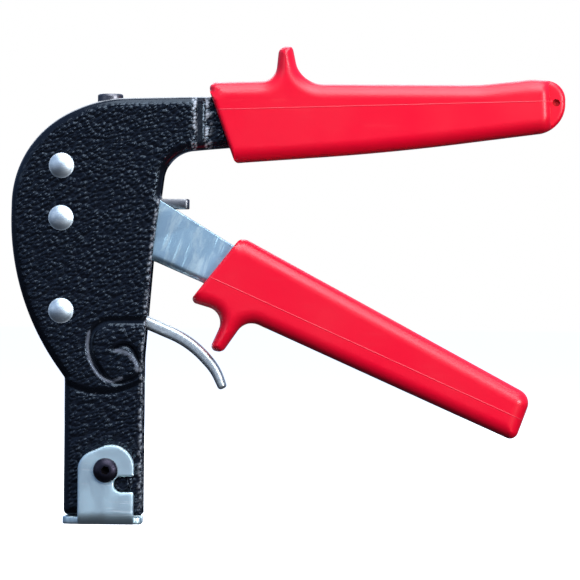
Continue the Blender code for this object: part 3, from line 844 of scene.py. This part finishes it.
def rivetPieces(material):
    s = rivetSet
    sphereR = (s["headR"] ** 2 + s["dome"] ** 2) / (2 * s["dome"])
    widest = math.degrees(math.asin(0.94 * s["headR"] / sphereR))
    dome = [(sphereR * math.sin(a), s["seat"] + s["dome"] - sphereR + sphereR * math.cos(a))
            for a in np.radians(np.linspace(0, widest, 12))]
    dome[0] = (0, dome[0][1])
    head = dome + [
        (s["headR"] - 0.08, s["seat"] + 0.22), (s["headR"], s["seat"] + 0.1), (s["headR"], s["seat"]),
        (s["shankR"], s["seat"])]
    profile = [(r, -y) for r, y in head] + [(r, y) for r, y in reversed(head)]
    shape = turnedMesh("rivetShape", profile, (0, 0, 0), (0, 1, 0), 48)
    spots = makeMesh("rivets", [nodeMiddle(n) for n in s["nodes"]], [])
    tree, start, end = geometryTree("rivetsOnSpots", [
        ("Rivet", "NodeSocketObject"), ("Finish", "NodeSocketMaterial")])
    info = addNode(tree, "GeometryNodeObjectInfo", {"Object": start.outputs["Rivet"]})
    placed = addNode(tree, "GeometryNodeInstanceOnPoints", {
        "Points": start.outputs["Geometry"], "Instance": info.outputs["Geometry"]})
    finishTree(tree, end, placed.outputs["Instances"], start.outputs["Finish"])
    runTree(spots, tree, {"Rivet": shape, "Finish": material})
    bpy.data.objects.remove(shape, do_unlink=True)
    spots.data.set_sharp_from_angle(angle=sharpAngle)
    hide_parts(*s["nodes"])
    return spots


def springTree():  # a wire coil with a closed turn at each end
    sizes = [(label, "NodeSocketFloat") for label in ("Turns", "Radius", "Wire", "Low", "High")]
    tree, start, end = geometryTree("wireCoil", sizes + [("Finish", "NodeSocketMaterial")])
    inputs = start.outputs

    def calc(operation, a, b=0.0):
        return addNode(tree, "ShaderNodeMath", {0: a, 1: b}, operation=operation).outputs[0]

    def stretch(value, a, b, reach):
        return addNode(tree, "ShaderNodeMapRange", {
            "Value": value, "From Min": a, "From Max": b, "To Min": 0.0, "To Max": reach}).outputs["Result"]
    spiral = addNode(tree, "GeometryNodeCurveSpiral", {
        "Resolution": 48, "Rotations": inputs["Turns"], "Start Radius": inputs["Radius"],
        "End Radius": inputs["Radius"], "Height": 0.0})
    along = addNode(tree, "GeometryNodeSplineParameter").outputs["Factor"]
    oneTurn = calc("DIVIDE", 1.0, inputs["Turns"])
    lastTurn = calc("SUBTRACT", 1.0, oneTurn)
    wireWide = calc("MULTIPLY", inputs["Wire"], 2.04)
    room = calc("SUBTRACT", calc("SUBTRACT", inputs["High"], inputs["Low"]), calc("MULTIPLY", wireWide, 3.0))
    rise = calc("ADD", stretch(along, 0.0, oneTurn, wireWide), stretch(along, oneTurn, lastTurn, room))
    rise = calc("ADD", rise, stretch(along, lastTurn, 1.0, wireWide))
    rise = calc("ADD", rise, calc("ADD", inputs["Low"], inputs["Wire"]))
    lift = addNode(tree, "ShaderNodeCombineXYZ", {"Z": rise})
    raised = addNode(tree, "GeometryNodeSetPosition", {
        "Geometry": spiral.outputs["Curve"], "Offset": lift.outputs["Vector"]})
    section = addNode(tree, "GeometryNodeCurvePrimitiveCircle", {"Resolution": 12, "Radius": inputs["Wire"]})
    wire = addNode(tree, "GeometryNodeCurveToMesh", {
        "Curve": raised.outputs["Geometry"], "Profile Curve": section.outputs["Curve"], "Fill Caps": True})
    finishTree(tree, end, wire.outputs["Mesh"], inputs["Finish"])
    return tree


springSets = {
    "return_spring": {
        "name": "returnSpring", "turns": 8.0, "radius": 7.2, "wire": 0.9, "joint": "drive_slide",
        "travel": 6.869},
    "release_spring": {
        "name": "releaseSpring", "turns": 6.0, "radius": 6.6, "wire": 0.6, "joint": "trigger_pivot",
        "travel": 0.68},
}


def springPieces(material):
    tree = springTree()
    made = {}
    for node, s in springSets.items():
        low, high = nodeSpan(node, 2)
        coil = makeMesh(s["name"], [(0, 0, low)], [])
        runTree(coil, tree, {
            "Turns": s["turns"], "Radius": s["radius"] * mm, "Wire": s["wire"] * mm, "Low": low * mm,
            "High": high * mm, "Finish": material})
        coil.data.shade_smooth()
        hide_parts(node)
        made[node] = coil
    return made


def shortenSpring(coil):  # gives the coil its own copy of its mesh
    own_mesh(coil)


# Shader groups shared by several finishes

def shaderGroup(name, inputs, outputs):  # a group with a place vector, number inputs and number outputs
    tree = bpy.data.node_groups.new(name, "ShaderNodeTree")
    tree.interface.new_socket("Vector", in_out="INPUT", socket_type="NodeSocketVector")
    for label, value in inputs.items():
        tree.interface.new_socket(label, in_out="INPUT", socket_type="NodeSocketFloat").default_value = value
    for label in outputs:
        tree.interface.new_socket(label, in_out="OUTPUT", socket_type="NodeSocketFloat")
    return tree, tree.nodes.new("NodeGroupInput").outputs, tree.nodes.new("NodeGroupOutput").inputs


def mathNode(tree, operation, a, b=0.0, clamp=False):
    return addNode(tree, "ShaderNodeMath", {0: a, 1: b}, operation=operation, use_clamp=clamp).outputs[0]


def rampNode(tree, value, low, high):  # 0 below low, 1 above high
    return addNode(tree, "ShaderNodeMapRange", {
        "Value": value, "From Min": low, "From Max": high, "To Min": 0.0, "To Max": 1.0},
        interpolation_type="SMOOTHSTEP").outputs["Result"]


def noiseNode(tree, vector, scale, detail=3.0, roughness=0.5, distortion=0.0):
    return addNode(tree, "ShaderNodeTexNoise", {
        "Vector": vector, "Scale": scale, "Detail": detail, "Roughness": roughness,
        "Distortion": distortion}).outputs["Fac"]


def attributeNode(tree, name):
    return addNode(tree, "ShaderNodeAttribute", attribute_name=name).outputs["Fac"]


def vectorNode(tree, operation, inputs, output="Vector"):
    return addNode(tree, "ShaderNodeVectorMath", inputs, operation=operation).outputs[output]


def mappedPlace(tree, vector, **inputs):
    return addNode(tree, "ShaderNodeMapping", {"Vector": vector, **inputs}).outputs["Vector"]


def spreadNode(tree, noise, low, high):  # the middle of a noise, stretched from low to high
    return addNode(tree, "ShaderNodeMapRange", {
        "Value": noise, "From Min": 0.3, "From Max": 0.7, "To Min": low, "To Max": high}).outputs["Result"]


def scratchGroup():  # long fine scratches in one direction, and a smudge map
    tree, inputs, outputs = shaderGroup(
        "scratches", {"Fineness": 900.0, "Amount": 0.5}, ("Scratch", "Smudge"))
    stretched = mappedPlace(tree, inputs["Vector"], Scale=(0.06, 1.0, 1.0))
    lines = noiseNode(tree, stretched, inputs["Fineness"], 2.0, 0.6)
    sparse = noiseNode(tree, inputs["Vector"], 90.0, 2.0, 0.5)
    mask = mathNode(tree, "MULTIPLY", rampNode(tree, lines, 0.56, 0.72), rampNode(tree, sparse, 0.42, 0.62))
    tree.links.new(mathNode(tree, "MULTIPLY", mask, inputs["Amount"]), outputs["Scratch"])
    smudge = noiseNode(tree, inputs["Vector"], 60.0, 5.0, 0.6, 0.8)
    tree.links.new(smudge, outputs["Smudge"])
    return tree


def grainGroup():  # pebbled grain of a wrinkle coat: rounded cells with soft valleys
    tree, inputs, outputs = shaderGroup("pebbleGrain", {"Cells": 650.0, "Wobble": 0.0006}, ("Height", "Valley"))
    warp = addNode(tree, "ShaderNodeTexNoise", {"Vector": inputs["Vector"], "Scale": 420.0, "Detail": 2.0})
    centred = vectorNode(tree, "SUBTRACT", {0: warp.outputs["Color"], 1: (0.5, 0.5, 0.5)})
    pushed = vectorNode(tree, "SCALE", {0: centred, "Scale": inputs["Wobble"]})
    moved = vectorNode(tree, "ADD", {0: inputs["Vector"], 1: pushed})
    cells = addNode(tree, "ShaderNodeTexVoronoi", {
        "Vector": moved, "Scale": inputs["Cells"], "Smoothness": 0.22, "Randomness": 1.0}, feature="SMOOTH_F1")
    fine = noiseNode(tree, inputs["Vector"], 1500.0, 2.0)
    dome = mathNode(tree, "SUBTRACT", 1.0, cells.outputs["Distance"])
    height = mathNode(tree, "ADD", dome, mathNode(tree, "MULTIPLY", fine, 0.25))
    tree.links.new(height, outputs["Height"])
    tree.links.new(rampNode(tree, cells.outputs["Distance"], 0.35, 0.75), outputs["Valley"])
    return tree


groups = {"scratches": scratchGroup(), "grain": grainGroup()}


def groupNode(tree, name, inputs):
    return addNode(tree, "ShaderNodeGroup", inputs, node_tree=groups[name]).outputs


def startMaterial(name, metallic, roughness, colour):
    material = bpy.data.materials.new(name)
    material.use_nodes = True
    tree = material.node_tree
    shader = tree.nodes["Principled BSDF"]
    shader.inputs["Metallic"].default_value = metallic
    shader.inputs["Roughness"].default_value = roughness
    shader.inputs["Base Color"].default_value = (*colour, 1)
    place = tree.nodes.new("ShaderNodeTexCoord").outputs["Object"]
    return material, tree, shader, place


def mixColour(tree, amount, a, b):
    node = addNode(tree, "ShaderNodeMix", {"Factor": amount}, data_type="RGBA")
    for socket, value in zip((node.inputs[6], node.inputs[7]), (a, b)):
        if isinstance(value, bpy.types.NodeSocket):
            tree.links.new(value, socket)
        else:
            socket.default_value = (*value, 1)
    return node.outputs[2]


def bump(tree, shader, height, distance):
    node = addNode(tree, "ShaderNodeBump", {"Height": height, "Distance": distance, "Strength": 1.0})
    tree.links.new(node.outputs["Normal"], shader.inputs["Normal"])


paintSet = {
    "colour": (0.0030, 0.0036, 0.0056),
    "bare": (0.30, 0.31, 0.33),
    "dust": (0.006, 0.007, 0.011),
    "cells": 780.0,
    "lean": -32,
    "stretch": 0.62,
    "grainDepth": 0.00046,
    "roughness": 0.21,
    "sheen": (0.66, 0.82, 1.0),
    "gloss": 0.42,
    # pale grey of the painted highlights on the grain crests
    "paintedGlint": (0.42, 0.43, 0.46),
    # pale grey of the painted highlight along the bead's crest
    "paintedShineGrey": (0.15, 0.16, 0.19),
}


def wrinklePaint():
    s = paintSet
    material, tree, shader, place = startMaterial("wrinklePaint", 0.0, s["roughness"], s["colour"])
    turned = mappedPlace(tree, place, Rotation=(0, math.radians(-s["lean"]), 0))
    drawn = mappedPlace(tree, turned, Scale=(s["stretch"], 1, 1))
    grain = groupNode(tree, "grain", {"Vector": drawn, "Cells": s["cells"]})
    rim, raw, rub, shine = (attributeNode(tree, name) for name in ("rim", "raw", "rub", "shine"))
    wear = noiseNode(tree, place, 260.0, 4.0, 0.65)
    edgeWear = mathNode(tree, "MULTIPLY", raw, rampNode(tree, wear, 0.55, 0.62))
    chips = mathNode(tree, "MULTIPLY", rampNode(tree, wear, 0.70, 0.73), 0.5)
    bare = mathNode(tree, "MINIMUM", mathNode(tree, "MAXIMUM", edgeWear, chips), 1.0)
    shader.inputs["Specular Tint"].default_value = (*s["sheen"], 1)
    shader.inputs["Specular IOR Level"].default_value = s["gloss"]
    textured = mathNode(tree, "SUBTRACT", 1.0, rim)
    height = mathNode(tree, "MULTIPLY", grain["Height"], mathNode(tree, "ADD", textured, 0.05))
    bump(tree, shader, height, s["grainDepth"])
    colour = mixColour(tree, mathNode(tree, "MULTIPLY", grain["Valley"], 0.35), s["colour"], s["dust"])
    # painted highlight: grain crests under the glint mask turn pale grey
    paintedGlint = mathNode(tree, "MULTIPLY", rub, rampNode(tree, grain["Height"], 0.45, 0.95), clamp=True)
    colour = mixColour(tree, paintedGlint, colour, s["paintedGlint"])
    # painted highlight along the bead's crest
    colour = mixColour(tree, mathNode(tree, "MULTIPLY", shine, 0.8), colour, s["paintedShineGrey"])
    tree.links.new(mixColour(tree, bare, colour, s["bare"]), shader.inputs["Base Color"])
    tree.links.new(mathNode(tree, "MULTIPLY", bare, 0.8), shader.inputs["Metallic"])
    rough = spreadNode(tree, wear, s["roughness"] - 0.05, s["roughness"] + 0.09)
    tree.links.new(rough, shader.inputs["Roughness"])
    return material


plasticSet = {
    "colour": (0.90, 0.0008, 0.024),
    "deep": (0.80, 0.0005, 0.015),
    "seam": (0.95, 0.10, 0.13),
    # darker red painted as shade inside the blind hole
    "pit": (0.55, 0.0, 0.006),
    "roughness": 0.33,
}


def redPlastic(name, seam):  # seam: two points (x, z) on the mould's parting line, in millimetres
    s = plasticSet
    material, tree, shader, place = startMaterial(name, 0.0, s["roughness"], s["colour"])
    a, b = np.array(seam) * mm
    across = leftOf(unit(b - a))
    offset = vectorNode(tree, "SUBTRACT", {0: place, 1: (a[0], 0.0, a[1])})
    gap = vectorNode(tree, "DOT_PRODUCT", {0: offset, 1: (across[0], 0.0, across[1])}, "Value")
    away = mathNode(tree, "ABSOLUTE", gap)
    line = mathNode(tree, "SUBTRACT", 1.0, rampNode(tree, away, 0.00005, 0.00022))
    mottle = noiseNode(tree, place, 45.0, 4.0, 0.55)
    fine = noiseNode(tree, place, 1800.0, 3.0, 0.6)
    scuff = groupNode(tree, "scratches", {"Vector": place, "Fineness": 700.0})
    colour = mixColour(tree, mathNode(tree, "MULTIPLY", mottle, 0.5), s["colour"], s["deep"])
    colour = mixColour(tree, mathNode(tree, "MULTIPLY", line, 0.25), colour, s["seam"])
    # painted shade inside the blind hole
    colour = mixColour(tree, attributeNode(tree, "pit"), colour, s["pit"])
    tree.links.new(colour, shader.inputs["Base Color"])
    rough = spreadNode(tree, mottle, s["roughness"] - 0.05, s["roughness"] + 0.08)
    rough = mathNode(tree, "ADD", rough, mathNode(tree, "MULTIPLY", scuff["Scratch"], 0.2))
    tree.links.new(rough, shader.inputs["Roughness"])
    height = mathNode(tree, "ADD", mathNode(tree, "MULTIPLY", fine, 0.22), line)
    bump(tree, shader, height, 0.00009)
    return material


def scratchedMetal(name, colour, dark, roughness, amount, turn=(0, 0, 0), pit=None, cloud=None):
    material, tree, shader, place = startMaterial(name, 1.0, roughness, colour)
    turned = mappedPlace(tree, place, Rotation=turn)
    marks = groupNode(tree, "scratches", {"Vector": turned, "Fineness": 900.0, "Amount": amount})
    smudge = rampNode(tree, marks["Smudge"], 0.35, 0.7)
    tinted = mixColour(tree, mathNode(tree, "MULTIPLY", smudge, 0.6), colour, dark)
    bright = tuple(min(1.0, c * 1.25) for c in colour)
    if cloud:  # pale smears along the scratches
        drawn = mappedPlace(tree, turned, Scale=(0.28, 1.0, 1.0))
        smears = rampNode(tree, noiseNode(tree, drawn, 230.0, 5.0, 0.62, 0.4), 0.46, 0.66)
        tinted = mixColour(tree, smears, tinted, cloud)
    tinted = mixColour(tree, marks["Scratch"], tinted, bright)
    if pit:  # painted shade: a dark socket, where the piece has its mask for it
        tinted = mixColour(tree, attributeNode(tree, "pit"), tinted, pit)
    tree.links.new(tinted, shader.inputs["Base Color"])
    rough = spreadNode(tree, marks["Smudge"], roughness - 0.06, roughness + 0.10)
    rough = mathNode(tree, "ADD", rough, mathNode(tree, "MULTIPLY", marks["Scratch"], 0.12))
    tree.links.new(rough, shader.inputs["Roughness"])
    grain = noiseNode(tree, place, 2600.0, 2.0)
    height = mathNode(tree, "SUBTRACT", mathNode(tree, "MULTIPLY", grain, 0.3), marks["Scratch"])
    bump(tree, shader, height, 0.00003)
    return material


# Build

def setFinish(piece, material):
    piece.data.materials.clear()
    piece.data.materials.append(material)


def finishPiece(piece, material, body):
    setFinish(piece, material)
    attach(piece, body)


paint = wrinklePaint()
zinc = scratchedMetal(
    "zincPlate", (0.53, 0.74, 0.86), (0.32, 0.50, 0.64), 0.43, 0.9, turn=(0, math.radians(68), 0),
    cloud=(0.78, 0.96, 1.0))
satin = scratchedMetal("satinZinc", (0.84, 1.0, 1.0), (0.72, 0.94, 1.0), 0.42, 0.4)
pale = scratchedMetal(
    "rivetSteel", (0.64, 0.72, 0.76), (0.42, 0.50, 0.56), 0.44, 0.3, cloud=(0.82, 0.88, 0.90))
silver = scratchedMetal("brightZinc", (0.70, 0.74, 0.74), (0.56, 0.60, 0.60), 0.44, 0.3)
darkSteel = scratchedMetal("darkSteel", (0.20, 0.20, 0.21), (0.10, 0.10, 0.11), 0.42, 0.4)
rodSteel = scratchedMetal("rodSteel", (0.16, 0.155, 0.17), (0.08, 0.08, 0.09), 0.40, 0.3)
# its last colour is painted shade in the hex socket
screwSteel = scratchedMetal(
    "screwSteel", (0.040, 0.036, 0.052), (0.016, 0.014, 0.020), 0.38, 0.3, pit=(0.008, 0.006, 0.006))
springSteel = scratchedMetal("springSteel", (0.34, 0.34, 0.35), (0.18, 0.18, 0.19), 0.30, 0.3)
print("finishes ready")

frontShell = shellPiece("frontShell", "front_shell", 1)
rearShell = shellPiece("rearShell", "rear_shell", -1)
for shell in (frontShell, rearShell):
    finishPiece(shell, paint, "housing")
print("shells:", len(frontShell.data.polygons), len(rearShell.data.polygons))

upperGrip = gripPiece("upperGrip", "upper_grip", upperGripSet)
finishPiece(upperGrip, redPlastic("redUpper", upperGripSet["seam"]), "housing")
lowerGrip = gripPiece("lowerGrip", "lower_grip", lowerGripSet)
finishPiece(lowerGrip, redPlastic("redLower", lowerGripSet["seam"]), "hand_lever")
print("grips:", len(upperGrip.data.polygons), len(lowerGrip.data.polygons))

finishPiece(nosePlatePiece(), satin, "housing")
finishPiece(noseScrewPiece(), screwSteel, "housing")
finishPiece(rivetPieces(pale), pale, "housing")
finishPiece(leverPiece(), zinc, "hand_lever")
finishPiece(triggerPiece(), silver, "trigger")
finishPiece(rodPiece(), rodSteel, "rod")
finishPiece(drivePlatePiece(), darkSteel, "drive")
for node, coil in springPieces(springSteel).items():
    finishPiece(coil, springSteel, "housing")
    shortenSpring(coil)
print("metal pieces ready")

insideDark = ("upper_spacer", "pivot_bush", "release_bush", "top_guide", "guide_plate", "head_holder")
for node in (*insideDark, "holder_pin"):  # CAD nodes that are kept as they are, with a finish
    setFinish(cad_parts[node], pale if node == "holder_pin" else darkSteel)


# Floor, light and camera

stageSet = {
    "floorReach": 12,
    "floor": (0.90, 0.90, 0.90),
    "floorGlow": 0.80,
    "skyHigh": (0.20, 0.31, 0.55),
    "skyLow": (0.03, 0.033, 0.045),
    "sky": 1.0,
    "aim": (0.0698, 0.0, 0.0906),
    "distance": 2.4,
    "azimuth": 1.0,
    "width": 0.2233,
    "roll": 0.54,
    "lights": [
        # name, place, size, watts, colour
        ("keyLight", (0.35, -1.15, 1.40), 1.2, 27.0, (0.90, 0.95, 1.0)),
        ("topLight", (0.25, -0.15, 1.30), 1.0, 12.0, (0.90, 0.95, 1.0)),
        ("rightLight", (0.98, -0.93, 0.30), 0.4, 11.0, (0.92, 0.96, 1.0)),
        ("backLight", (-0.20, 1.50, 1.10), 1.2, 14.0, (0.92, 0.96, 1.0)),
        ("leftLight", (-1.1, -0.8, 0.5), 0.7, 1.5, (0.80, 0.90, 1.0)),
    ],
}


def paleFloor():
    reach = stageSet["floorReach"]
    mesh = bpy.data.meshes.new("paleFloor")
    corners = [(-reach, -reach, 0), (reach, -reach, 0), (reach, reach, 0), (-reach, reach, 0)]
    mesh.from_pydata(corners, [], [(0, 1, 2, 3)])
    floor = bpy.data.objects.new("paleFloor", mesh)
    bpy.context.scene.collection.objects.link(floor)
    material, _, shader, _ = startMaterial("paleFloor", 0.0, 0.8, stageSet["floor"])
    shader.inputs["Emission Color"].default_value = (1, 1, 1, 1)
    shader.inputs["Emission Strength"].default_value = stageSet["floorGlow"]
    mesh.materials.append(material)
    floor.visible_glossy = False
    floor.visible_diffuse = False


def lightsAndCamera():
    s = stageSet
    scene = bpy.context.scene
    world = bpy.data.worlds.new("studio")
    scene.world = world
    world.use_nodes = True
    tree = world.node_tree
    background = tree.nodes["Background"]
    direction = addNode(tree, "ShaderNodeSeparateXYZ", {
        "Vector": tree.nodes.new("ShaderNodeTexCoord").outputs["Generated"]}).outputs["Z"]
    sky = mixColour(tree, rampNode(tree, direction, -0.35, 0.45), s["skyLow"], s["skyHigh"])
    seen = tree.nodes.new("ShaderNodeLightPath").outputs["Is Camera Ray"]
    tree.links.new(mixColour(tree, seen, sky, (1.0, 1.0, 1.0)), background.inputs["Color"])
    background.inputs["Strength"].default_value = s["sky"]
    aim = Vector(s["aim"])
    for name, place, size, watts, colour in s["lights"]:
        light = bpy.data.lights.new(name, "AREA")
        light.shape = "SQUARE"
        light.size = size
        light.energy = watts
        light.color = colour
        lamp = bpy.data.objects.new(name, light)
        lamp.location = place
        lamp.rotation_euler = (aim - Vector(place)).to_track_quat("-Z", "Y").to_euler()
        scene.collection.objects.link(lamp)
    camera = bpy.data.cameras.new("camera")
    camera.lens = camera.sensor_width * s["distance"] / s["width"]
    camera.clip_end = 20
    view = bpy.data.objects.new("camera", camera)
    azimuth = math.radians(s["azimuth"])
    view.location = aim + s["distance"] * Vector((math.sin(azimuth), -math.cos(azimuth), 0))
    turned = Matrix.Rotation(azimuth, 3, "Z") @ Matrix.Rotation(math.radians(90), 3, "X")
    view.rotation_euler = (turned @ Matrix.Rotation(math.radians(s["roll"]), 3, "Z")).to_euler()
    scene.collection.objects.link(view)
    scene.camera = view
    scene.view_settings.view_transform = "Standard"


paleFloor()
lightsAndCamera()
print("stage ready")
